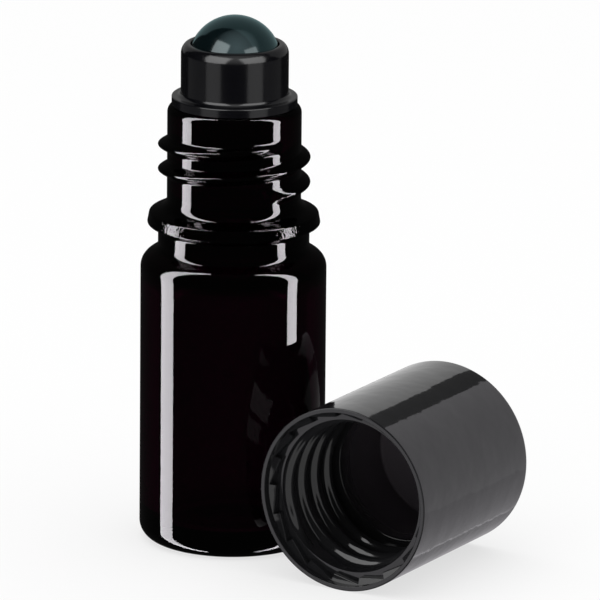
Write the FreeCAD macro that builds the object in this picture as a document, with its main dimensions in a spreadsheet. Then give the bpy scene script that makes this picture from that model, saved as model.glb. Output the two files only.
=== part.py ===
import FreeCAD, Part
import math
import os
import Sketcher

# Roll-on bottle of 5 ml: a moulded glass bottle, the roller fitting pressed into its neck,
# the ball that the fitting holds, and the screw cap, which lies beside the bottle.
# Millimetres, +Z up, origin at the centre of the bottle's base.

DIMENSIONS = [
    # Glass bottle, from the base up
    ("body_diameter", "22.0"),
    ("heel_radius", "2.1"),
    ("standing_ring_diameter", "14.0"),
    ("base_push_up", "0.6"),
    ("base_thickness", "2.8"),
    ("glass_wall", "2.2"),
    ("inside_heel_radius", "1.5"),
    ("shoulder_height", "34.3"),
    ("shoulder_rise", "1.3"),
    ("shoulder_radius", "2.0"),
    ("shoulder_neck_diameter", "17.9"),
    ("shoulder_neck_radius", "1.1"),
    ("inside_shoulder_rise", "2.6"),
    ("collar_height", "37.95"),
    ("collar_diameter", "20.5"),
    ("collar_underside_rise", "0.6"),
    ("collar_edge", "1.35"),
    ("collar_draft", "0.25"),
    ("collar_edge_radius", "0.3"),
    ("collar_slope_rise", "0.8"),
    ("collar_root_radius", "1.4"),
    ("neck_diameter", "15.85"),
    ("neck_bore", "10.8"),
    ("glass_height", "52.95"),
    ("lip_radius", "1.0"),
    ("lip_inside_radius", "0.3"),
    # Roller fitting
    ("plug_length", "8.0"),
    ("plug_clearance", "0.15"),
    ("plug_lead", "0.5"),
    ("plug_wall", "0.95"),
    ("seal_rib_clearance", "0.02"),
    ("seal_rib_width", "0.9"),
    ("seal_rib_spacing", "2.2"),
    ("seal_rib_below_lip", "2.0"),
    ("housing_diameter", "12.72"),
    ("housing_root_radius", "0.5"),
    ("flange_ledge", "1.065"),
    ("flange_thickness", "1.05"),
    ("flange_edge_radius", "0.15"),
    ("rim_above_ball_centre", "2.2"),
    ("rim_radius", "1.0"),
    ("cup_floor", "1.0"),
    ("feed_hole_diameter", "6.0"),
    ("feed_slot_width", "1.0"),
    ("feed_slot_reach", "4.1"),
    # Ball
    ("ball_diameter", "11.0"),
    ("ball_clearance", "0.13"),
    ("ball_centre_above_glass", "5.11"),
    # Screw cap, with its closed place on the neck and its place on the floor
    ("cap_diameter", "22.0"),
    ("cap_wall", "1.8"),
    ("cap_top_wall", "1.6"),
    ("cap_top_radius", "0.7"),
    ("cap_mouth_radius", "0.25"),
    ("cap_collar_gap", "0.4"),
    ("cap_flange_gap", "0.2"),
    ("cap_chamber_step", "1.0"),
    ("cap_ball_gap", "0.3"),
    ("press_ring_diameter", "5.0"),
    ("press_ring_width", "0.9"),
    ("press_ring_gap", "0.05"),
    ("ratchet_rim", "0.55"),
    ("ratchet_recess", "1.0"),
    ("ratchet_tooth_height", "0.8"),
    ("ratchet_depth", "1.0"),
    ("cap_floor_gap", "0.5"),
    ("cap_mouth_forward", "13.0"),
]
FEED_SLOTS = 4
SEAL_RIBS = 2
RATCHET_TEETH = 18

# Places that several pieces share, each worked out from the sizes above
COLLAR_TOP = "(Sizes.collar_height + Sizes.collar_underside_rise + Sizes.collar_edge)"
PLUG_END = "(Sizes.glass_height - Sizes.plug_length)"
PLUG_RADIUS = "(Sizes.neck_bore / 2 - Sizes.plug_clearance)"
FLANGE_RADIUS = "(Sizes.housing_diameter / 2 + Sizes.flange_ledge)"
FLANGE_TOP = "(Sizes.glass_height + Sizes.flange_thickness)"
BALL_CENTRE = "(Sizes.glass_height + Sizes.ball_centre_above_glass)"
RIM_HEIGHT = f"({BALL_CENTRE} + Sizes.rim_above_ball_centre)"
CLOSED_MOUTH = f"({COLLAR_TOP} + Sizes.cap_collar_gap)"
CAP_CEILING = f"({BALL_CENTRE} + Sizes.ball_diameter / 2 + Sizes.cap_ball_gap - {CLOSED_MOUTH})"
CAP_LENGTH = f"({CAP_CEILING} + Sizes.cap_top_wall)"
CAP_BORE_RADIUS = "(Sizes.cap_diameter / 2 - Sizes.cap_wall)"
RATCHET_RADIUS = "(Sizes.cap_diameter / 2 - Sizes.ratchet_rim)"

doc = FreeCAD.newDocument("roll_on_bottle")
sheet = doc.addObject("Spreadsheet::Sheet", "Sizes")
for row, (alias, value) in enumerate(DIMENSIONS, start=1):
    sheet.set(f"A{row}", alias)
    sheet.set(f"B{row}", value)
    sheet.setAlias(f"B{row}", alias)
doc.recompute()


def origin_item(body, role):
    """One of the body's own origin planes or axes."""
    return next(item for item in body.Origin.OriginFeatures if item.Role == role)


def new_body(label):
    """An empty body whose label names the piece."""
    body = doc.addObject("PartDesign::Body", label)
    body.Label = label
    return body


def sketch_on(body, name, role):
    """A sketch on one of the body's own origin planes."""
    sketch = body.newObject("Sketcher::SketchObject", name)
    sketch.AttachmentSupport = [(origin_item(body, role), "")]
    sketch.MapMode = "FlatFace"
    return sketch


def outline(body, name, corners, role="XZ_Plane"):
    """A closed outline of straight lines. Each corner is a pair of expressions, its distances
    along the plane's two axes; None stands for a corner that lies on the other axis."""
    sketch = sketch_on(body, name, role)
    count = len(corners)
    turns = [2 * math.pi * index / count for index in range(count)]
    rough = [FreeCAD.Vector(math.cos(turn), math.sin(turn), 0) for turn in turns]
    for index in range(count):
        sketch.addGeometry(Part.LineSegment(rough[index], rough[(index + 1) % count]))
    for index in range(count):
        sketch.addConstraint(Sketcher.Constraint("Coincident", index, 2, (index + 1) % count, 1))
    for index, corner in enumerate(corners):
        for expression, kind, other_axis in zip(corner, ("DistanceX", "DistanceY"), (-2, -1)):
            if expression is None:
                sketch.addConstraint(Sketcher.Constraint("PointOnObject", index, 1, other_axis))
            else:
                number = sketch.addConstraint(Sketcher.Constraint(kind, -1, 1, index, 1, 1.0))
                sketch.setExpression(f"Constraints[{number}]", expression)
    return sketch


def turned(body, name, corners, kind="PartDesign::Revolution"):
    """A full turn of an outline about the body's Z axis, added to the body or cut from it."""
    sketch = outline(body, f"{name}_outline", corners)
    feature = body.newObject(kind, name)
    feature.Profile = sketch
    feature.ReferenceAxis = (sketch, ["V_Axis"])
    feature.Angle = 360
    doc.recompute()
    return feature


def size(alias):
    """The sheet's number under this alias."""
    return sheet.get(alias)


def rounded(body, name, base, rings, radius_alias):
    """A fillet on the base's circular edges that have the given (radius, height)."""
    near = 1e-4
    edges = []
    for number, edge in enumerate(base.Shape.Edges, start=1):
        if not isinstance(edge.Curve, Part.Circle):
            continue
        for radius, height in rings:
            same_radius = abs(edge.Curve.Radius - radius) < near
            same_height = abs(edge.Curve.Center.z - height) < near
            if same_radius and same_height:
                edges.append(f"Edge{number}")
    if len(edges) != len(rings):
        raise ValueError(f"{name}: {len(edges)} of {len(rings)} edges found")
    fillet = body.newObject("PartDesign::Fillet", name)
    fillet.Base = (base, edges)
    fillet.setExpression("Radius", f"Sizes.{radius_alias}")
    doc.recompute()
    return fillet


def repeated_round(body, name, original, count):
    """Copies of a feature, evenly spaced about the body's Z axis."""
    pattern = body.newObject("PartDesign::PolarPattern", name)
    pattern.Originals = [original]
    pattern.Axis = (origin_item(body, "Z_Axis"), [""])
    pattern.Angle = 360
    pattern.Occurrences = count
    body.Tip = pattern
    doc.recompute()
    return pattern


def make_glass_bottle():
    """The glass body: outside turned from its profile, inside hollowed, edges rounded as moulded."""
    body = new_body("glass_bottle")
    collar_outer = "Sizes.collar_height + Sizes.collar_underside_rise"
    outside = turned(body, "outside", [
        (None, "Sizes.base_push_up"),
        ("Sizes.standing_ring_diameter / 2", None),
        ("Sizes.body_diameter / 2", None),
        ("Sizes.body_diameter / 2", "Sizes.shoulder_height"),
        ("Sizes.shoulder_neck_diameter / 2", "Sizes.shoulder_height + Sizes.shoulder_rise"),
        ("Sizes.shoulder_neck_diameter / 2", "Sizes.collar_height"),
        ("Sizes.collar_diameter / 2", collar_outer),
        ("Sizes.collar_diameter / 2 - Sizes.collar_draft", COLLAR_TOP),
        ("Sizes.neck_diameter / 2", f"{COLLAR_TOP} + Sizes.collar_slope_rise"),
        ("Sizes.neck_diameter / 2", "Sizes.glass_height"),
        (None, "Sizes.glass_height"),
    ])
    body_radius = size("body_diameter") / 2
    shoulder_neck_radius = size("shoulder_neck_diameter") / 2
    collar_radius = size("collar_diameter") / 2
    collar_low = size("collar_height") + size("collar_underside_rise")
    collar_top = collar_low + size("collar_edge")
    neck_radius = size("neck_diameter") / 2
    bore_radius = size("neck_bore") / 2
    inside_radius = body_radius - size("glass_wall")
    shoulder_top = size("shoulder_height") + size("shoulder_rise")
    step = rounded(body, "heel", outside, [(body_radius, 0)], "heel_radius")
    step = rounded(body, "shoulder", step, [(body_radius, size("shoulder_height"))], "shoulder_radius")
    step = rounded(body, "shoulder_root", step, [(shoulder_neck_radius, shoulder_top)],
                   "shoulder_neck_radius")
    step = rounded(body, "collar_root", step, [(neck_radius, collar_top + size("collar_slope_rise"))],
                   "collar_root_radius")
    step = rounded(body, "collar_edges", step,
                   [(collar_radius, collar_low), (collar_radius - size("collar_draft"), collar_top)],
                   "collar_edge_radius")
    rounded(body, "lip", step, [(neck_radius, size("glass_height"))], "lip_radius")
    inside_shoulder = "Sizes.shoulder_height - Sizes.glass_wall"
    hollow = turned(body, "hollow", [
        (None, "Sizes.base_thickness"),
        ("Sizes.body_diameter / 2 - Sizes.glass_wall", "Sizes.base_thickness"),
        ("Sizes.body_diameter / 2 - Sizes.glass_wall", inside_shoulder),
        ("Sizes.neck_bore / 2", f"{inside_shoulder} + Sizes.inside_shoulder_rise"),
        ("Sizes.neck_bore / 2", "Sizes.glass_height"),
        (None, "Sizes.glass_height"),
    ], "PartDesign::Groove")
    step = rounded(body, "inside_heel", hollow, [(inside_radius, size("base_thickness"))],
                   "inside_heel_radius")
    step = rounded(body, "inside_shoulder", step,
                   [(inside_radius, size("shoulder_height") - size("glass_wall"))],
                   "shoulder_radius")
    rounded(body, "lip_inside", step, [(bore_radius, size("glass_height"))], "lip_inside_radius")
    return body


def make_ball_holder():
    """The roller fitting: a plug with sealing ribs, a flange that seats on the glass, and a cup whose
    round seat reaches past the ball's widest ring, so that its rim keeps the ball in."""
    body = new_body("ball_holder")
    outside = turned(body, "plug_flange_housing", [
        (None, PLUG_END),
        (f"{PLUG_RADIUS} - Sizes.plug_lead", PLUG_END),
        (PLUG_RADIUS, f"{PLUG_END} + Sizes.plug_lead"),
        (PLUG_RADIUS, "Sizes.glass_height"),
        (FLANGE_RADIUS, "Sizes.glass_height"),
        (FLANGE_RADIUS, FLANGE_TOP),
        ("Sizes.housing_diameter / 2", FLANGE_TOP),
        ("Sizes.housing_diameter / 2", RIM_HEIGHT),
        (None, RIM_HEIGHT),
    ])
    housing_radius = size("housing_diameter") / 2
    flange_radius = housing_radius + size("flange_ledge")
    flange_top = size("glass_height") + size("flange_thickness")
    rim_height = size("glass_height") + size("ball_centre_above_glass") + size("rim_above_ball_centre")
    step = rounded(body, "rim", outside, [(housing_radius, rim_height)], "rim_radius")
    step = rounded(body, "housing_root", step, [(housing_radius, flange_top)], "housing_root_radius")
    rounded(body, "flange_edge", step, [(flange_radius, flange_top)], "flange_edge_radius")

    rib_low = "(Sizes.glass_height - Sizes.seal_rib_below_lip - Sizes.seal_rib_width)"
    rib_radius = "Sizes.neck_bore / 2 - Sizes.seal_rib_clearance"
    rib_root = f"{PLUG_RADIUS} - Sizes.plug_wall / 2"
    rib = turned(body, "seal_rib", [
        (rib_root, rib_low),
        (PLUG_RADIUS, rib_low),
        (rib_radius, f"{rib_low} + Sizes.seal_rib_width / 3"),
        (rib_radius, f"{rib_low} + Sizes.seal_rib_width * 2 / 3"),
        (PLUG_RADIUS, f"{rib_low} + Sizes.seal_rib_width"),
        (rib_root, f"{rib_low} + Sizes.seal_rib_width"),
    ])
    ribs = body.newObject("PartDesign::LinearPattern", "seal_ribs")
    ribs.Originals = [rib]
    ribs.Direction = (origin_item(body, "Z_Axis"), [""])
    ribs.Reversed = True
    ribs.setExpression("Length", f"Sizes.seal_rib_spacing * {SEAL_RIBS - 1}")
    ribs.Occurrences = SEAL_RIBS
    body.Tip = ribs
    doc.recompute()

    floor_underside = "Sizes.glass_height - Sizes.cup_floor"
    turned(body, "feed_bore", [
        (None, PLUG_END),
        (f"{PLUG_RADIUS} - Sizes.plug_wall", PLUG_END),
        (f"{PLUG_RADIUS} - Sizes.plug_wall", floor_underside),
        ("Sizes.feed_hole_diameter / 2", floor_underside),
        ("Sizes.feed_hole_diameter / 2", BALL_CENTRE),
        (None, BALL_CENTRE),
    ], "PartDesign::Groove")

    seat = body.newObject("PartDesign::SubtractiveSphere", "ball_seat")
    seat.setExpression("Radius", "Sizes.ball_diameter / 2 + Sizes.ball_clearance")
    seat.setExpression("Placement.Base.z", BALL_CENTRE)
    doc.recompute()

    slot_outline = outline(body, "feed_slot_outline", [
        (None, "-Sizes.feed_slot_width / 2"),
        ("Sizes.feed_slot_reach", "-Sizes.feed_slot_width / 2"),
        ("Sizes.feed_slot_reach", "Sizes.feed_slot_width / 2"),
        (None, "Sizes.feed_slot_width / 2"),
    ], "XY_Plane")
    slot_outline.setExpression("AttachmentOffset.Base.z", BALL_CENTRE)
    slot = body.newObject("PartDesign::Pocket", "feed_slot")
    slot.Profile = slot_outline
    slot.setExpression("Length", "Sizes.ball_centre_above_glass + Sizes.cup_floor")
    doc.recompute()
    repeated_round(body, "feed_slots", slot, FEED_SLOTS)
    return body


def make_roller_ball():
    """The ball, held loosely with the seat's clearance all round."""
    ball = doc.addObject("Part::Sphere", "roller_ball")
    ball.Label = "roller_ball"
    ball.setExpression("Radius", "Sizes.ball_diameter / 2")
    ball.setExpression("Placement.Base.z", BALL_CENTRE)
    return ball


def make_screw_cap():
    """The cap, mouth at its own base plane: a smooth cup with a threaded bore, a narrower chamber over
    the roller fitting, a ring in the ceiling that presses on the ball and a ratchet set back in the
    mouth behind a thin rim."""
    body = new_body("screw_cap")
    shell = turned(body, "shell", [
        (None, None),
        ("Sizes.cap_diameter / 2", None),
        ("Sizes.cap_diameter / 2", CAP_LENGTH),
        (None, CAP_LENGTH),
    ])
    cap_radius = size("cap_diameter") / 2
    cap_length = shell.Shape.BoundBox.ZMax
    step = rounded(body, "top_edge", shell, [(cap_radius, cap_length)], "cap_top_radius")
    rounded(body, "mouth_edge", step, [(cap_radius, 0)], "cap_mouth_radius")

    thread_end = f"({FLANGE_TOP} + Sizes.cap_flange_gap - {CLOSED_MOUTH})"
    chamber_radius = f"({CAP_BORE_RADIUS} - Sizes.cap_chamber_step)"
    turned(body, "bore", [
        (None, None),
        (RATCHET_RADIUS, None),
        (RATCHET_RADIUS, "Sizes.ratchet_recess"),
        (CAP_BORE_RADIUS, "Sizes.ratchet_recess"),
        (CAP_BORE_RADIUS, thread_end),
        (chamber_radius, thread_end),
        (chamber_radius, CAP_CEILING),
        (None, CAP_CEILING),
    ], "PartDesign::Groove")

    ring_inner = "Sizes.press_ring_diameter / 2"
    ring_outer = f"{ring_inner} + Sizes.press_ring_width"
    ball_above_ring = f"sqrt((Sizes.ball_diameter / 2)^2 - ({ring_inner})^2)"
    ring_low = f"({BALL_CENTRE} + {ball_above_ring} + Sizes.press_ring_gap - {CLOSED_MOUTH})"
    ring_root = f"{CAP_CEILING} + Sizes.cap_top_wall / 2"
    turned(body, "press_ring", [
        (ring_inner, ring_root),
        (ring_inner, ring_low),
        (ring_outer, ring_low),
        (ring_outer, ring_root),
    ])

    pitch_angle = f"({360 / RATCHET_TEETH} deg)"
    ramp_radius = f"({RATCHET_RADIUS} - Sizes.ratchet_tooth_height)"
    inner_radius = f"({CAP_BORE_RADIUS} - Sizes.ratchet_tooth_height)"
    notch_outline = outline(body, "ratchet_notch_outline", [
        (inner_radius, None),
        (RATCHET_RADIUS, None),
        (f"{ramp_radius} * cos{pitch_angle}", f"{ramp_radius} * sin{pitch_angle}"),
        (f"{inner_radius} * cos{pitch_angle}", f"{inner_radius} * sin{pitch_angle}"),
    ], "XY_Plane")
    notch = body.newObject("PartDesign::Pocket", "ratchet_notch")
    notch.Profile = notch_outline
    notch.Reversed = True
    notch.setExpression("Length", "Sizes.ratchet_recess + Sizes.ratchet_depth")
    doc.recompute()
    repeated_round(body, "ratchet", notch, RATCHET_TEETH)

    lying = FreeCAD.Rotation(FreeCAD.Vector(1, 0, 0), -90)
    body.Placement = FreeCAD.Placement(FreeCAD.Vector(), lying)
    beside = "Sizes.body_diameter / 2 + Sizes.cap_diameter / 2 + Sizes.cap_floor_gap"
    body.setExpression("Placement.Base.x", beside)
    body.setExpression("Placement.Base.y", "-Sizes.cap_mouth_forward")
    body.setExpression("Placement.Base.z", "Sizes.cap_diameter / 2")
    return body


pieces = [make_glass_bottle(), make_ball_holder(), make_roller_ball(), make_screw_cap()]
doc.recompute()

for item in doc.Objects:
    if "Invalid" in item.State or "Error" in item.State:
        raise RuntimeError(f"{item.Name} failed: {item.State}")
for piece in pieces:
    if piece.Shape.isNull() or not piece.Shape.isValid():
        raise RuntimeError(f"{piece.Label} has no valid shape")

os.makedirs("parts", exist_ok=True)
for piece in pieces:
    piece.Shape.exportStep(f"parts/{piece.Label}.step")
    box = piece.Shape.optimalBoundingBox()
    print(f"{piece.Label}: {len(piece.Shape.Solids)} solid, {piece.Shape.Volume:.1f} mm3,"
          f" x {box.XMin:.2f} to {box.XMax:.2f}, y {box.YMin:.2f} to {box.YMax:.2f},"
          f" z {box.ZMin:.2f} to {box.ZMax:.2f}")
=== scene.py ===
import math
import bpy
import numpy as np
from mathutils import Matrix, Vector


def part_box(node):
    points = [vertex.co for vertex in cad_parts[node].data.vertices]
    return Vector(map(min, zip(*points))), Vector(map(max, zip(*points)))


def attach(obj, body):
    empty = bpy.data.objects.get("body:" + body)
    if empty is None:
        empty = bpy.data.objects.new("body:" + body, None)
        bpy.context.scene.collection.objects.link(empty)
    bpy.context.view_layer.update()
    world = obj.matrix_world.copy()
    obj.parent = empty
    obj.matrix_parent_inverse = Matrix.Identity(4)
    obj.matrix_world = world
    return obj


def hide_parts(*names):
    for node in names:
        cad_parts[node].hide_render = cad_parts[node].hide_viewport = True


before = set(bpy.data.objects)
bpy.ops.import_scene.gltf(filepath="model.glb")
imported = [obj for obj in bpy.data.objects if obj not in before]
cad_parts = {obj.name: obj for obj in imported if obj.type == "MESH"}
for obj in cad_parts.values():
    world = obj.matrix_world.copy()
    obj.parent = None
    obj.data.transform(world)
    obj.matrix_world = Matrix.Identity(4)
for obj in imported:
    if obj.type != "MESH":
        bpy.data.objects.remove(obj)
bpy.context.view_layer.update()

# Glass bottle: one moulded piece of violet glass so dark that it looks black, with a rounded heel,
# a shoulder, a pebbled collar and a screw neck whose two turns of thread were moulded with it.
# It stands on the ring round its pushed-up base.


def rounded_outline(corners):
    """Points (radius, height) along the line through some corners, each given as radius, height,
    rounding and the number of pieces of the straight run that follows it.
    A rounded corner becomes the arc that touches both of its sides, a point every 6 degrees."""
    places = np.array([corner[:2] for corner in corners])
    arcs = []
    for index, (_, _, rounding, _) in enumerate(corners):
        place = places[index]
        if rounding == 0:
            arcs.append(place[None])
            continue
        back = places[index - 1] - place
        ahead = places[(index + 1) % len(places)] - place
        back, ahead = back / np.linalg.norm(back), ahead / np.linalg.norm(ahead)
        half = math.acos(np.clip(back @ ahead, -1, 1)) / 2
        middle = (back + ahead) / np.linalg.norm(back + ahead)
        centre = place + middle * rounding / math.sin(half)
        start = place + back * rounding / math.tan(half) - centre
        end = place + ahead * rounding / math.tan(half) - centre
        share = np.linspace(0, 1, 2 + int(math.degrees(math.pi - 2 * half) / 6))[:, None]
        arc = start * (1 - share) + end * share
        arcs.append(centre + arc * rounding / np.linalg.norm(arc, axis=1, keepdims=True))
    runs = []
    for index, (_, _, _, pieces) in enumerate(corners):
        runs.append(arcs[index])
        if index + 1 < len(corners) and pieces > 1:
            share = np.linspace(0, 1, pieces + 1)[1:-1, None]
            runs.append(arcs[index][-1] * (1 - share) + arcs[index + 1][0] * share)
    return np.concatenate(runs)


def turned_mesh(name, radius, height, angle, first_pole=None, last_pole=None):
    """A mesh whose point in row v and column u stands at radius[v, u] and height[v, u], turned by
    angle[u] about the Z axis. A fan closes an end that has a pole, the height of its middle point;
    with no poles, the last row joins the first."""
    rows, columns = radius.shape
    grid = np.stack([radius * np.cos(angle), radius * np.sin(angle), height], -1).reshape(-1, 3)
    row_count = rows if first_pole is None else rows - 1
    low = np.arange(row_count)[:, None] * columns
    high = (np.arange(1, row_count + 1) % rows)[:, None] * columns
    here = np.arange(columns)[None]
    beside = (here + 1) % columns
    faces = np.stack([low + here, low + beside, high + beside, high + here], -1).reshape(-1, 4).tolist()
    if first_pole is not None:
        poles = np.array([[0, 0, first_pole], [0, 0, last_pole]])
        grid = np.concatenate([grid, poles])
        first, last = rows * columns, rows * columns + 1
        top = (rows - 1) * columns
        faces += np.stack([beside[0], here[0], np.full(columns, first)], -1).tolist()
        faces += np.stack([top + here[0], top + beside[0], np.full(columns, last)], -1).tolist()
    mesh = bpy.data.meshes.new(name)
    mesh.from_pydata(grid.tolist(), [], faces)
    mesh.validate()
    piece = bpy.data.objects.new(name, mesh)
    bpy.context.scene.collection.objects.link(piece)
    return piece


def full_turn(columns):
    """The angles of this many columns, spread evenly round a full turn."""
    return np.linspace(0, 2 * math.pi, columns, endpoint=False)


def smooth(piece, sharpest):
    """Smooth shading, with an edge kept wherever two faces meet at more than this many degrees."""
    piece.data.shade_smooth()
    piece.data.set_sharp_from_angle(angle=math.radians(sharpest))


def thread_ridge(angle, height, start, pitch, turns, ridge, half_width, fade):
    """How far a thread stands out at each (height, angle): its crest climbs by the pitch in a turn from
    the start (angle, height), its section is a squared cosine over the half width on each side, and its
    ends rise and sink over the fade angle."""
    start_angle, start_height = start
    past = (angle - start_angle) % (2 * math.pi)
    whole = np.round((height - start_height) / pitch - past / (2 * math.pi))
    along = past + 2 * math.pi * whole
    off = height - start_height - pitch * along / (2 * math.pi)
    section = np.cos(np.clip(off / half_width, -1, 1) * math.pi / 2) ** 2
    rise = np.clip(along / fade, 0, 1)
    fall = np.clip((2 * math.pi * turns - along) / fade, 0, 1)
    ends = np.minimum(rise, fall)
    return ridge * section * ends * ends * (3 - 2 * ends)


def add_node(tree, kind, inputs, **settings):
    """A node with its settings; an input is given as a value, or as the socket that feeds it."""
    node = tree.nodes.new(kind)
    for key, value in settings.items():
        setattr(node, key, value)
    for key, value in inputs.items():
        if isinstance(value, bpy.types.NodeSocket):
            tree.links.new(value, node.inputs[key])
        else:
            node.inputs[key].default_value = value
    return node


def new_material(name):
    """An empty node material, with its tree, its output and the object's own coordinates."""
    material = bpy.data.materials.new(name)
    material.use_nodes = True
    tree = material.node_tree
    tree.nodes.clear()
    output = add_node(tree, "ShaderNodeOutputMaterial", {})
    place = add_node(tree, "ShaderNodeTexCoord", {}).outputs["Object"]
    return material, tree, output, place


_, bottle_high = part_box("glass_bottle")
body_radius, glass_height = bottle_high.x, bottle_high.z
glass_wall, base_thickness, base_push_up = 0.0022, 0.0028, 0.0006
standing_ring_radius, heel_rounding = 0.0070, 0.0021
shoulder_height, shoulder_top, shoulder_rounding = 0.0343, 0.0356, 0.0020
waist_radius, waist_rounding = 0.00895, 0.0011
collar_low, collar_outer, collar_top, collar_end = 0.03795, 0.03855, 0.0399, 0.0407
collar_radius, collar_top_radius = 0.01025, 0.0100
under_collar_rounding, collar_rounding = 0.0004, 0.0003
neck_radius, neck_foot_rounding, lip_rounding = 0.007925, 0.0014, 0.0010
bore_radius, bore_rounding, bore_flare = 0.0054, 0.0003, 0.0026
inside_radius, inside_heel_rounding = body_radius - glass_wall, 0.0015
inside_shoulder = shoulder_height - glass_wall
glass_outline = rounded_outline([
    (standing_ring_radius / 2, base_push_up / 2, 0, 1),
    (standing_ring_radius, 0, 0, 4),
    (body_radius, 0, heel_rounding, 24),
    (body_radius, shoulder_height, shoulder_rounding, 3),
    (waist_radius, shoulder_top, waist_rounding, 4),
    (waist_radius, collar_low, under_collar_rounding, 2),
    (collar_radius, collar_outer, collar_rounding, 3),
    (collar_top_radius, collar_top, collar_rounding, 4),
    (neck_radius, collar_end, neck_foot_rounding, 120),
    (neck_radius, glass_height, lip_rounding, 3),
    (bore_radius, glass_height, bore_rounding, 12),
    (bore_radius, inside_shoulder + bore_flare, 0, 6),
    (inside_radius, inside_shoulder, shoulder_rounding, 18),
    (inside_radius, base_thickness, inside_heel_rounding, 6),
    (inside_radius / 2, base_thickness, 0, 1),
])
around_glass = full_turn(240)
thread_start = (math.radians(-32), 0.04305)
thread_pitch, thread_turns = 0.0030, 2.06
thread_height, thread_half_width, thread_fade = 0.00108, 0.00100, math.radians(38)
glass_radius, glass_level = glass_outline[:, :1], glass_outline[:, 1:]
on_neck = (glass_radius > (neck_radius + bore_radius) / 2) & (glass_level > collar_top)
glass_thread = thread_ridge(around_glass, glass_level, thread_start, thread_pitch, thread_turns,
                            thread_height, thread_half_width, thread_fade)
glass = turned_mesh("glass_bottle_moulding", glass_radius + on_neck * glass_thread,
                    glass_level + 0 * around_glass, around_glass, base_push_up, base_thickness)
smooth(glass, sharpest=50)

violet_glass, tree, output, place = new_material("violet_black_glass")
smear = add_node(tree, "ShaderNodeTexNoise", {"Vector": place, "Scale": 130.0, "Detail": 4.0})
smear_range = add_node(tree, "ShaderNodeMapRange", {
    "Value": smear.outputs["Fac"], "To Min": 0.012, "To Max": 0.03})
ripple = add_node(tree, "ShaderNodeTexNoise", {"Vector": place, "Scale": 75.0, "Detail": 1.0})
ripple_bump = add_node(tree, "ShaderNodeBump", {"Height": ripple.outputs["Fac"], "Strength": 0.05,
                                                "Distance": 0.0003})
level = add_node(tree, "ShaderNodeSeparateXYZ", {"Vector": place})
on_collar = add_node(tree, "ShaderNodeMath", {
    0: level.outputs["Z"], 1: (collar_low + collar_top) / 2, 2: (collar_top - collar_low) / 2},
    operation="COMPARE")
pebble = add_node(tree, "ShaderNodeTexNoise", {"Vector": place, "Scale": 2800.0, "Detail": 2.0})
pebble_bump = add_node(tree, "ShaderNodeBump", {
    "Height": pebble.outputs["Fac"], "Strength": on_collar.outputs["Value"], "Distance": 0.00005,
    "Normal": ripple_bump.outputs["Normal"]})
glass_shader = add_node(tree, "ShaderNodeBsdfPrincipled", {
    "Base Color": (0.22, 0.06, 0.18, 1.0), "Roughness": smear_range.outputs["Result"], "IOR": 1.52,
    "Transmission Weight": 1.0, "Normal": pebble_bump.outputs["Normal"]})
glass_depth = add_node(tree, "ShaderNodeVolumeAbsorption", {
    "Color": (0.50, 0.0, 0.42, 1.0), "Density": 1500.0})
tree.links.new(glass_shader.outputs["BSDF"], output.inputs["Surface"])
tree.links.new(glass_depth.outputs["Volume"], output.inputs["Volume"])
glass.data.materials.append(violet_glass)
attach(glass, "bottle")
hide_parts("glass_bottle")

# Roller fitting: one moulding of satin black plastic, pushed into the neck until its flange sits on
# the glass. Two ribs on its plug seal the bore, and its cup reaches past the ball's middle.

holder_low, holder_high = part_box("ball_holder")
ball_low, ball_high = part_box("roller_ball")
ball_radius = (ball_high.z - ball_low.z) / 2
ball_centre = (ball_high.z + ball_low.z) / 2
flange_radius, rim_height, plug_end = holder_high.x, holder_high.z, holder_low.z
flange_thickness, flange_rounding = 0.00105, 0.00015
flange_top = glass_height + flange_thickness
housing_radius, housing_foot_rounding = 0.00636, 0.0005
plug_radius, plug_bore, plug_lead, plug_edge = 0.00525, 0.0043, 0.0005, 0.0003
feed_radius, cup_depth = 0.0030, 0.0010
cup_underside = glass_height - cup_depth
rib_radius, rib_width, rib_spacing, last_rib_depth = 0.00538, 0.0009, 0.0022, 0.0020
first_rib = glass_height - last_rib_depth - rib_width - rib_spacing
ball_clearance = 0.00013
seat_radius = ball_radius + ball_clearance
rim_inside = math.sqrt(seat_radius ** 2 - (rim_height - ball_centre) ** 2)
rim_slope_width, rim_slope_height = 0.00056, 0.00065
rim_outer_rounding, rim_rounding, rim_inner_rounding = 0.0015, 0.0006, 0.00012
lip_reach = math.radians(5)
lip_turn = math.asin((rim_height - ball_centre) / seat_radius) - lip_reach
ribs = []
for rib in (first_rib, first_rib + rib_spacing):
    ribs += [(plug_radius, rib, 0, 1), (rib_radius, rib + rib_width / 3, 0, 1),
             (rib_radius, rib + rib_width * 2 / 3, 0, 1), (plug_radius, rib + rib_width, 0, 1)]
holder_outside = rounded_outline([
    (plug_bore, plug_end, 0, 1),
    (plug_radius - plug_lead, plug_end, 0, 1),
    (plug_radius, plug_end + plug_lead, 0, 1),
    *ribs,
    (plug_radius, glass_height, 0, 2),
    (flange_radius, glass_height, 0, 2),
    (flange_radius, flange_top, flange_rounding, 3),
    (housing_radius, flange_top, housing_foot_rounding, 10),
    (housing_radius, rim_height - rim_slope_height, rim_outer_rounding, 1),
    (housing_radius - rim_slope_width, rim_height, rim_rounding, 1),
    (rim_inside, rim_height, rim_inner_rounding, 1),
    (seat_radius * math.cos(lip_turn), ball_centre + seat_radius * math.sin(lip_turn), 0, 1),
])
seat_turn = np.linspace(lip_turn, -math.acos(feed_radius / seat_radius), 40)[1:]
seat = np.stack([seat_radius * np.cos(seat_turn), ball_centre + seat_radius * np.sin(seat_turn)], -1)
holder_inside = rounded_outline([
    (feed_radius, cup_underside, 0, 1),
    (plug_bore, cup_underside, 0, 8),
    (plug_bore, plug_end + plug_edge, 0, 1),
])
holder_outline = np.concatenate([holder_outside, seat, holder_inside])
around_holder = full_turn(192)
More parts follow.
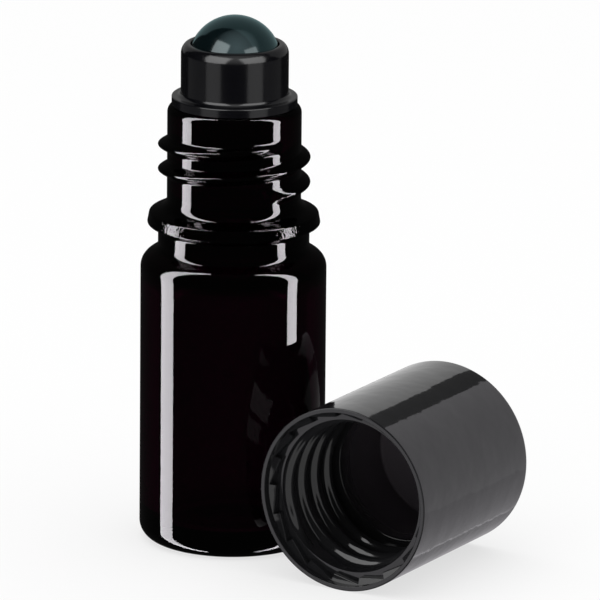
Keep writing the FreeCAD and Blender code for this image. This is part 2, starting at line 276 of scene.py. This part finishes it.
holder = turned_mesh("ball_holder_moulding", holder_outline[:, :1] + 0 * around_holder,
                     holder_outline[:, 1:] + 0 * around_holder, around_holder)
smooth(holder, sharpest=40)

satin_plastic, tree, output, place = new_material("holder_black_plastic")
grain = add_node(tree, "ShaderNodeTexNoise", {"Vector": place, "Scale": 4200.0, "Detail": 3.0})
grain_bump = add_node(tree, "ShaderNodeBump", {"Height": grain.outputs["Fac"], "Strength": 0.12,
                                               "Distance": 0.00004})
rub = add_node(tree, "ShaderNodeTexNoise", {"Vector": place, "Scale": 260.0, "Detail": 5.0})
rub_range = add_node(tree, "ShaderNodeMapRange", {
    "Value": rub.outputs["Fac"], "To Min": 0.13, "To Max": 0.20})
rub_shade = add_node(tree, "ShaderNodeValToRGB", {"Fac": rub.outputs["Fac"]})
rub_shade.color_ramp.elements[0].color = (0.0008, 0.0008, 0.0012, 1)
rub_shade.color_ramp.elements[1].color = (0.0018, 0.0018, 0.0026, 1)
satin = add_node(tree, "ShaderNodeBsdfPrincipled", {
    "Base Color": rub_shade.outputs["Color"], "Roughness": rub_range.outputs["Result"], "IOR": 1.5,
    "Normal": grain_bump.outputs["Normal"]})
tree.links.new(satin.outputs["BSDF"], output.inputs["Surface"])
holder.data.materials.append(satin_plastic)
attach(holder, "bottle")
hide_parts("ball_holder")

# Roller ball: a polished ball of dark teal, almost black, loose in its cup, so that it turns against
# the skin and brings the oil up.

ball_turn = np.linspace(-math.pi / 2, math.pi / 2, 98)[1:-1, None]
around_ball = full_turn(160)
ball = turned_mesh("polished_ball", ball_radius * np.cos(ball_turn) + 0 * around_ball,
                   ball_centre + ball_radius * np.sin(ball_turn) + 0 * around_ball, around_ball,
                   ball_centre - ball_radius, ball_centre + ball_radius)
smooth(ball, sharpest=60)

dark_teal, tree, output, place = new_material("ball_dark_teal")
cloud = add_node(tree, "ShaderNodeTexNoise", {
    "Vector": place, "Scale": 330.0, "Detail": 5.0, "Roughness": 0.6})
cloud_shade = add_node(tree, "ShaderNodeValToRGB", {"Fac": cloud.outputs["Fac"]})
cloud_shade.color_ramp.elements[0].position = 0.3
cloud_shade.color_ramp.elements[0].color = (0.0007, 0.0018, 0.0022, 1)
cloud_shade.color_ramp.elements[1].position = 0.72
cloud_shade.color_ramp.elements[1].color = (0.0015, 0.0035, 0.0040, 1)
polish = add_node(tree, "ShaderNodeMapRange", {
    "Value": cloud.outputs["Fac"], "To Min": 0.09, "To Max": 0.16})
teal = add_node(tree, "ShaderNodeBsdfPrincipled", {
    "Base Color": cloud_shade.outputs["Color"], "Roughness": polish.outputs["Result"], "IOR": 1.5,
    "Specular Tint": (0.85, 0.98, 1.0, 1.0)})
tree.links.new(teal.outputs["BSDF"], output.inputs["Surface"])
ball.data.materials.append(dark_teal)
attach(ball, "ball")
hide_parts("roller_ball")

# Screw cap: one moulding of glossy black plastic, lying on its side. Its bore has the thread that fits
# the neck, its mouth a ring of saw teeth that click past the collar, and its ceiling a ring that presses
# on the ball.

cap_low, cap_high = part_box("screw_cap")
cap_radius, cap_length = (cap_high.x - cap_low.x) / 2, cap_high.y - cap_low.y
cap_wall, chamber_wall, cap_end_thickness, cap_mouth_wall = 0.0018, 0.0028, 0.0016, 0.00055
cap_bore, cap_chamber = cap_radius - cap_wall, cap_radius - chamber_wall
cap_ceiling, thread_end = cap_length - cap_end_thickness, 0.0139
chamber_rounding, chamber_edge = 0.0003, 0.0002
press_inside, press_outside, press_end, press_edge = 0.0025, 0.0034, 0.02271, 0.0001
mouth_radius, mouth_depth, mouth_edge = cap_radius - cap_mouth_wall, 0.0010, 0.00006
cap_rim_rounding, cap_end_rounding = 0.00014, 0.0007
tooth_gap, tooth_height = 0.00004, 0.0008
tooth_root, tooth_tip = mouth_radius - tooth_gap, mouth_radius - tooth_height
tooth_count, tooth_end, tooth_edge, tooth_lean = 18, 0.0020, 0.00010, 0.4
tooth_pitch = 2 * math.pi / tooth_count
# along the pitch of a tooth: its tip, the root just after it, then points on the chord to the next tip
tooth_step_out, tooth_chord_start = 0.02, 0.12
tooth_chord = np.linspace(tooth_chord_start, 1, 13)[:-1]
tooth_steps = np.concatenate([[0, tooth_step_out], tooth_chord])
around_cap = ((np.arange(tooth_count)[:, None] + tooth_steps) * tooth_pitch).ravel()


def tooth_radius(share):
    """The inner radius across one tooth, as a share of the tooth's pitch: it steps out at once
    from the tip to the root, then comes back along a straight chord to the tip."""
    turn = share * tooth_pitch
    run = tooth_tip * math.cos(tooth_pitch) - tooth_root, tooth_tip * math.sin(tooth_pitch)
    chord = tooth_root * run[1] / (run[1] * np.cos(turn) - run[0] * np.sin(turn))
    return np.where(share < tooth_step_out / 2, tooth_tip, chord)


teeth = np.tile(tooth_radius(tooth_steps), tooth_count)
cap_inside = rounded_outline([
    (press_inside / 2, cap_ceiling, 0, 1),
    (press_inside, cap_ceiling, 0, 1),
    (press_inside, press_end, press_edge, 1),
    (press_outside, press_end, press_edge, 1),
    (press_outside, cap_ceiling, 0, 3),
    (cap_chamber, cap_ceiling, chamber_rounding, 8),
    (cap_chamber, thread_end, chamber_edge, 2),
    (cap_bore, thread_end, 0, 130),
    (cap_bore, tooth_end, 0, 1),
])
cap_outside = rounded_outline([
    (mouth_radius, mouth_depth, 0, 3),
    (mouth_radius, 0, mouth_edge, 2),
    (cap_radius, 0, cap_rim_rounding, 24),
    (cap_radius, cap_length, cap_end_rounding, 6),
    (cap_radius / 4, cap_length, 0, 1),
])
cap_thread_start, cap_thread_turns = (math.radians(120), 0.0027), 3.4
cap_thread_height, cap_thread_half_width, cap_thread_fade = 0.00078, 0.00095, math.radians(40)
cap_thread_margin = 0.0001
inside_radii, inside_levels = cap_inside[:, :1], cap_inside[:, 1:]
cap_thread = thread_ridge(around_cap, inside_levels, cap_thread_start, thread_pitch, cap_thread_turns,
                          cap_thread_height, cap_thread_half_width, cap_thread_fade)
in_bore = np.isclose(inside_radii, cap_bore) & (inside_levels < thread_end - cap_thread_margin)
in_bore &= inside_levels > tooth_end + cap_thread_margin
edge_turn = np.linspace(0, math.pi / 2, 5)[:, None]
edge_share = 0.8
edge_size = np.minimum(tooth_edge, edge_share * (mouth_radius - teeth))
tooth_face = teeth + edge_size * (1 - np.cos(edge_turn))
cap_radii = np.concatenate([
    inside_radii - in_bore * cap_thread,
    teeth[None],
    tooth_face,
    cap_outside[:, :1] + 0 * around_cap,
])
cap_levels = np.concatenate([
    inside_levels + 0 * around_cap,
    tooth_end + 0 * teeth[None],
    mouth_depth + edge_size * (1 - np.sin(edge_turn)) + tooth_lean * (mouth_radius - tooth_face),
    cap_outside[:, 1:] + 0 * around_cap,
])
cap = turned_mesh("screw_cap_moulding", cap_radii, cap_levels, around_cap, cap_ceiling, cap_length)
lay_down = Matrix.Rotation(-math.pi / 2, 4, "X")
mouth_centre = Vector((cap_low.x + cap_radius, cap_low.y, cap_radius))
cap.data.transform(Matrix.Translation(mouth_centre) @ lay_down)
smooth(cap, sharpest=30)

gloss_plastic, tree, output, place = new_material("cap_black_plastic")
orange_peel = add_node(tree, "ShaderNodeTexNoise", {"Vector": place, "Scale": 270.0, "Detail": 2.0})
peel_bump = add_node(tree, "ShaderNodeBump", {"Height": orange_peel.outputs["Fac"], "Strength": 0.24,
                                              "Distance": 0.0003})
handling = add_node(tree, "ShaderNodeTexNoise", {"Vector": place, "Scale": 190.0, "Detail": 6.0})
handling_range = add_node(tree, "ShaderNodeMapRange", {
    "Value": handling.outputs["Fac"], "To Min": 0.05, "To Max": 0.10})
from_mouth = add_node(tree, "ShaderNodeVectorMath", {0: place, 1: mouth_centre}, operation="SUBTRACT")
across = add_node(tree, "ShaderNodeVectorMath", {
    0: from_mouth.outputs["Vector"], 1: (1, 0, 1)}, operation="MULTIPLY")
off_axis = add_node(tree, "ShaderNodeVectorMath", {0: across.outputs["Vector"]}, operation="LENGTH")
depth = add_node(tree, "ShaderNodeSeparateXYZ", {"Vector": from_mouth.outputs["Vector"]})
# Deep in the bore, past the thread, the finish turns matt and the colour is painted lighter there:
# painted light where little lamp light reaches.
bore_margin, inside_fade, matt_roughness = 0.0004, 0.006, 0.55
inside = add_node(tree, "ShaderNodeMath", {
    0: off_axis.outputs["Value"], 1: cap_bore - bore_margin}, operation="LESS_THAN")
deep = add_node(tree, "ShaderNodeMapRange", {
    "Value": depth.outputs["Y"], "From Min": thread_end, "From Max": thread_end + inside_fade})
under_end = add_node(tree, "ShaderNodeMath", {
    0: depth.outputs["Y"], 1: (cap_ceiling + cap_length) / 2}, operation="LESS_THAN")
in_cap = add_node(tree, "ShaderNodeMath", {
    0: inside.outputs["Value"], 1: under_end.outputs["Value"]}, operation="MULTIPLY")
matt_and_painted_light = add_node(tree, "ShaderNodeMath", {
    0: in_cap.outputs["Value"], 1: deep.outputs["Result"]}, operation="MULTIPLY")
cap_finish = add_node(tree, "ShaderNodeMath", {
    0: matt_and_painted_light.outputs["Value"], 1: matt_roughness, 2: handling_range.outputs["Result"]},
    operation="MULTIPLY_ADD")
handling_shade = add_node(tree, "ShaderNodeValToRGB", {"Fac": handling.outputs["Fac"]})
handling_shade.color_ramp.elements[0].color = (0.008, 0.008, 0.009, 1)
handling_shade.color_ramp.elements[1].color = (0.015, 0.015, 0.016, 1)
# Painted light: the deep inside gets a lighter violet colour in place of the light it lacks; elsewhere
# the colour is the random handling tone.
tone_with_painted_inside_light = add_node(tree, "ShaderNodeMix", {
    "Factor": matt_and_painted_light.outputs["Value"], 6: handling_shade.outputs["Color"], 7: (0.10, 0.085, 0.10, 1)},
    data_type="RGBA")
gloss = add_node(tree, "ShaderNodeBsdfPrincipled", {
    "Base Color": tone_with_painted_inside_light.outputs[2], "Roughness": cap_finish.outputs["Value"],
    "IOR": 1.5, "Normal": peel_bump.outputs["Normal"]})
tree.links.new(gloss.outputs["BSDF"], output.inputs["Surface"])
cap.data.materials.append(gloss_plastic)
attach(cap, "cap")
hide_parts("screw_cap")

# Camera: far off with a long lens, 30 degrees round from the cap's mouth side (-Y) towards +X and
# 15 degrees up, with the slight lean of the photograph's bottle.

view_azimuth, view_elevation, view_lean = math.radians(30), math.radians(15), math.radians(0.5)
view_distance, view_width = 1.1, 0.0710
aim_height, aim_right, aim_down = 0.030, 0.0079, 0.0009
right = Vector((math.cos(view_azimuth), math.sin(view_azimuth), 0))
back = Vector((math.sin(view_azimuth) * math.cos(view_elevation),
               -math.cos(view_azimuth) * math.cos(view_elevation), math.sin(view_elevation)))
above = back.cross(right)
aim = Vector((0, 0, aim_height)) + aim_right * right - aim_down * above
lens = bpy.data.cameras.new("camera")
lens.sensor_width = 36.0
lens.lens = lens.sensor_width * view_distance / view_width
camera = bpy.data.objects.new("camera", lens)
camera.location = aim + back * view_distance
camera.rotation_euler = ((-back).to_track_quat("-Z", "Y").to_matrix()
                         @ Matrix.Rotation(view_lean, 3, "Z")).to_euler()
bpy.context.scene.collection.objects.link(camera)
bpy.context.scene.camera = camera

# Floor: a plain white sheet that keeps the soft shadow. Reflections look past it into the dark studio,
# as they do in a bottle that is lit by two strips alone.


def watched_by_camera(tree):
    """A Light Path node, and a value that is 1 for what the camera sees, straight or through glass."""
    path = add_node(tree, "ShaderNodeLightPath", {})
    straight_or_through = add_node(tree, "ShaderNodeMath", {
        0: path.outputs["Is Camera Ray"], 1: path.outputs["Is Transmission Ray"]}, operation="MAXIMUM")
    return path, straight_or_through.outputs["Value"]


floor_half, own_white_share = 3.0, 0.7
floor_mesh = bpy.data.meshes.new("floor")
floor_mesh.from_pydata([(-floor_half, -floor_half, 0), (floor_half, -floor_half, 0),
                        (floor_half, floor_half, 0), (-floor_half, floor_half, 0)], [], [(0, 1, 2, 3)])
floor = bpy.data.objects.new("floor", floor_mesh)
bpy.context.scene.collection.objects.link(floor)
floor.visible_glossy = False
floor.visible_shadow = False
white_sheet, tree, output, _ = new_material("white_sheet")
_, watched = watched_by_camera(tree)
own_white = add_node(tree, "ShaderNodeMath", {0: watched, 1: own_white_share}, operation="MULTIPLY")
matte = add_node(tree, "ShaderNodeBsdfDiffuse", {"Color": (0.9, 0.9, 0.9, 1)})
own_light = add_node(tree, "ShaderNodeEmission", {"Color": (1, 1, 1, 1), "Strength": 1.0})
sheet = add_node(tree, "ShaderNodeMixShader", {0: own_white.outputs["Value"], 1: matte.outputs["BSDF"],
                                               2: own_light.outputs["Emission"]})
tree.links.new(sheet.outputs["Shader"], output.inputs["Surface"])
floor_mesh.materials.append(white_sheet)

# Light: as in a product photograph, each piece has soft boxes of its own. Two tall strips draw the
# bottle, cards in front and behind draw the roller fitting, and others the lying cap and its mouth.

white, violet_white = (1, 1, 1), (0.98, 0.955, 1)
teal_white, pale_teal = (0.62, 0.97, 1), (0.76, 0.96, 1)
lamp_centre = Vector((0.008, 0, 0.03))
lamps = [
    # name, degrees right of the camera, degrees up, distance, width, height, spread, radiance, colour,
    # lit pieces
    ("left_strip", -89, 0, 0.26, 0.092, 1.9, 180, 9.4, violet_white, [glass]),
    ("right_strip", 77.8, 0, 0.26, 0.068, 1.9, 180, 10.2, violet_white, [glass]),
    ("left_box", -47, 29, 0.6, 0.42, 0.62, 180, 4.6, white, [ball]),
    ("right_box", 49, 21, 0.6, 0.36, 0.46, 180, 3.6, white, [ball]),
    ("holder_left_box", -42, 28, 0.6, 0.53, 0.62, 180, 3.6, white, [holder]),
    ("holder_right_box", 43, 26, 0.6, 0.56, 0.56, 180, 3.0, white, [holder]),
    ("left_low_card", -47, -18, 0.6, 0.36, 0.36, 180, 0.62, white, [holder]),
    ("right_low_card", 45, -18, 0.6, 0.38, 0.36, 180, 0.75, white, [holder]),
    ("left_outer_card", -92, -18, 0.6, 0.55, 0.36, 180, 0.13, white, [holder]),
    ("right_outer_card", 92, -18, 0.6, 0.55, 0.36, 180, 0.13, white, [holder]),
    ("front_card", 8, 46, 0.6, 1.8, 1.5, 114, 1.7, pale_teal, [ball]),
    ("holder_front_card", 8, 46, 0.6, 1.8, 1.5, 114, 0.9, white, [holder]),
    ("far_card", 145, 40, 0.6, 2.9, 1.2, 180, 0.44, teal_white, [ball]),
    ("holder_far_card", 165, 32, 0.6, 2.2, 0.80, 180, 0.26, white, [holder]),
    ("cap_far_card", 178, 14, 0.6, 0.27, 0.58, 180, 0.72, white, [cap]),
    ("cap_side_card", 122, -3, 0.6, 0.61, 1.20, 180, 0.63, violet_white, [cap]),
    ("cap_low_card", 173.2, -33, 0.6, 0.45, 0.44, 180, 0.46, violet_white, [cap]),
    ("cap_wide_card", 152, 12, 0.6, 1.4, 0.80, 180, 0.10, white, [cap]),
    ("cap_rim_card", -60, -15, 0.6, 0.18, 0.24, 180, 1.0, violet_white, [cap]),
    ("cap_low_tooth_card", -72, 14, 0.6, 0.44, 0.24, 180, 1.8, white, [cap]),
    ("cap_left_tooth_card", -18, -14, 0.6, 0.20, 0.26, 180, 0.9, white, [cap]),
    ("cap_thread_card", 24, 0, 0.6, 0.21, 2.0, 180, 0.75, white, [cap]),
    ("cap_mouth_box", -78, 47, 0.6, 0.60, 0.32, 180, 2.8, white, [cap]),
    ("sheet_light", 0, 89, 0.9, 1.8, 1.8, 180, 1.3, white, [floor]),
]
for name, turn, rise, distance, width, height, spread, radiance, colour, lit_pieces in lamps:
    turn, rise, half = view_azimuth + math.radians(turn), math.radians(rise), math.radians(spread / 2)
    toward = Vector((math.sin(turn) * math.cos(rise), -math.cos(turn) * math.cos(rise), math.sin(rise)))
    # a spread below 180 degrees gathers the power: by tan / (tan - angle), for half the spread
    gathered = 1 if spread == 180 else math.tan(half) / (math.tan(half) - half)
    light = bpy.data.lights.new(name, "AREA")
    light.color = colour
    light.shape = "RECTANGLE"
    light.size, light.size_y = width, height
    light.spread = 2 * half
    light.energy = radiance * math.pi * width * height / gathered
    lamp = bpy.data.objects.new(name, light)
    lamp.location = lamp_centre + toward * distance
    lamp.rotation_euler = toward.to_track_quat("Z", "Y").to_euler()
    lamp.visible_camera = False
    lit = bpy.data.collections.new("lit_by_" + name)
    for piece in lit_pieces:
        lit.objects.link(piece)
    lamp.light_linking.receiver_collection = lit
    bpy.context.scene.collection.objects.link(lamp)

# The studio round them is white to the camera and through the glass, dimmer to matt surfaces and nearly
# black in reflections.

sky_seen, sky_on_matt, sky_in_gloss = 1.0, 0.4, 0.015
world = bpy.data.worlds.new("studio")
bpy.context.scene.world = world
world.use_nodes = True
tree = world.node_tree
tree.nodes.clear()
path, watched = watched_by_camera(tree)
brighter = add_node(tree, "ShaderNodeMath", {
    0: watched, 1: sky_seen - sky_on_matt, 2: sky_on_matt}, operation="MULTIPLY_ADD")
darker = add_node(tree, "ShaderNodeMath", {
    0: path.outputs["Is Glossy Ray"], 1: sky_in_gloss - sky_on_matt, 2: brighter.outputs["Value"]},
    operation="MULTIPLY_ADD")
sky = add_node(tree, "ShaderNodeBackground", {
    "Color": (1, 1, 1, 1), "Strength": darker.outputs["Value"]})
add_node(tree, "ShaderNodeOutputWorld", {"Surface": sky.outputs["Background"]})
bpy.context.scene.view_settings.view_transform = "Standard"
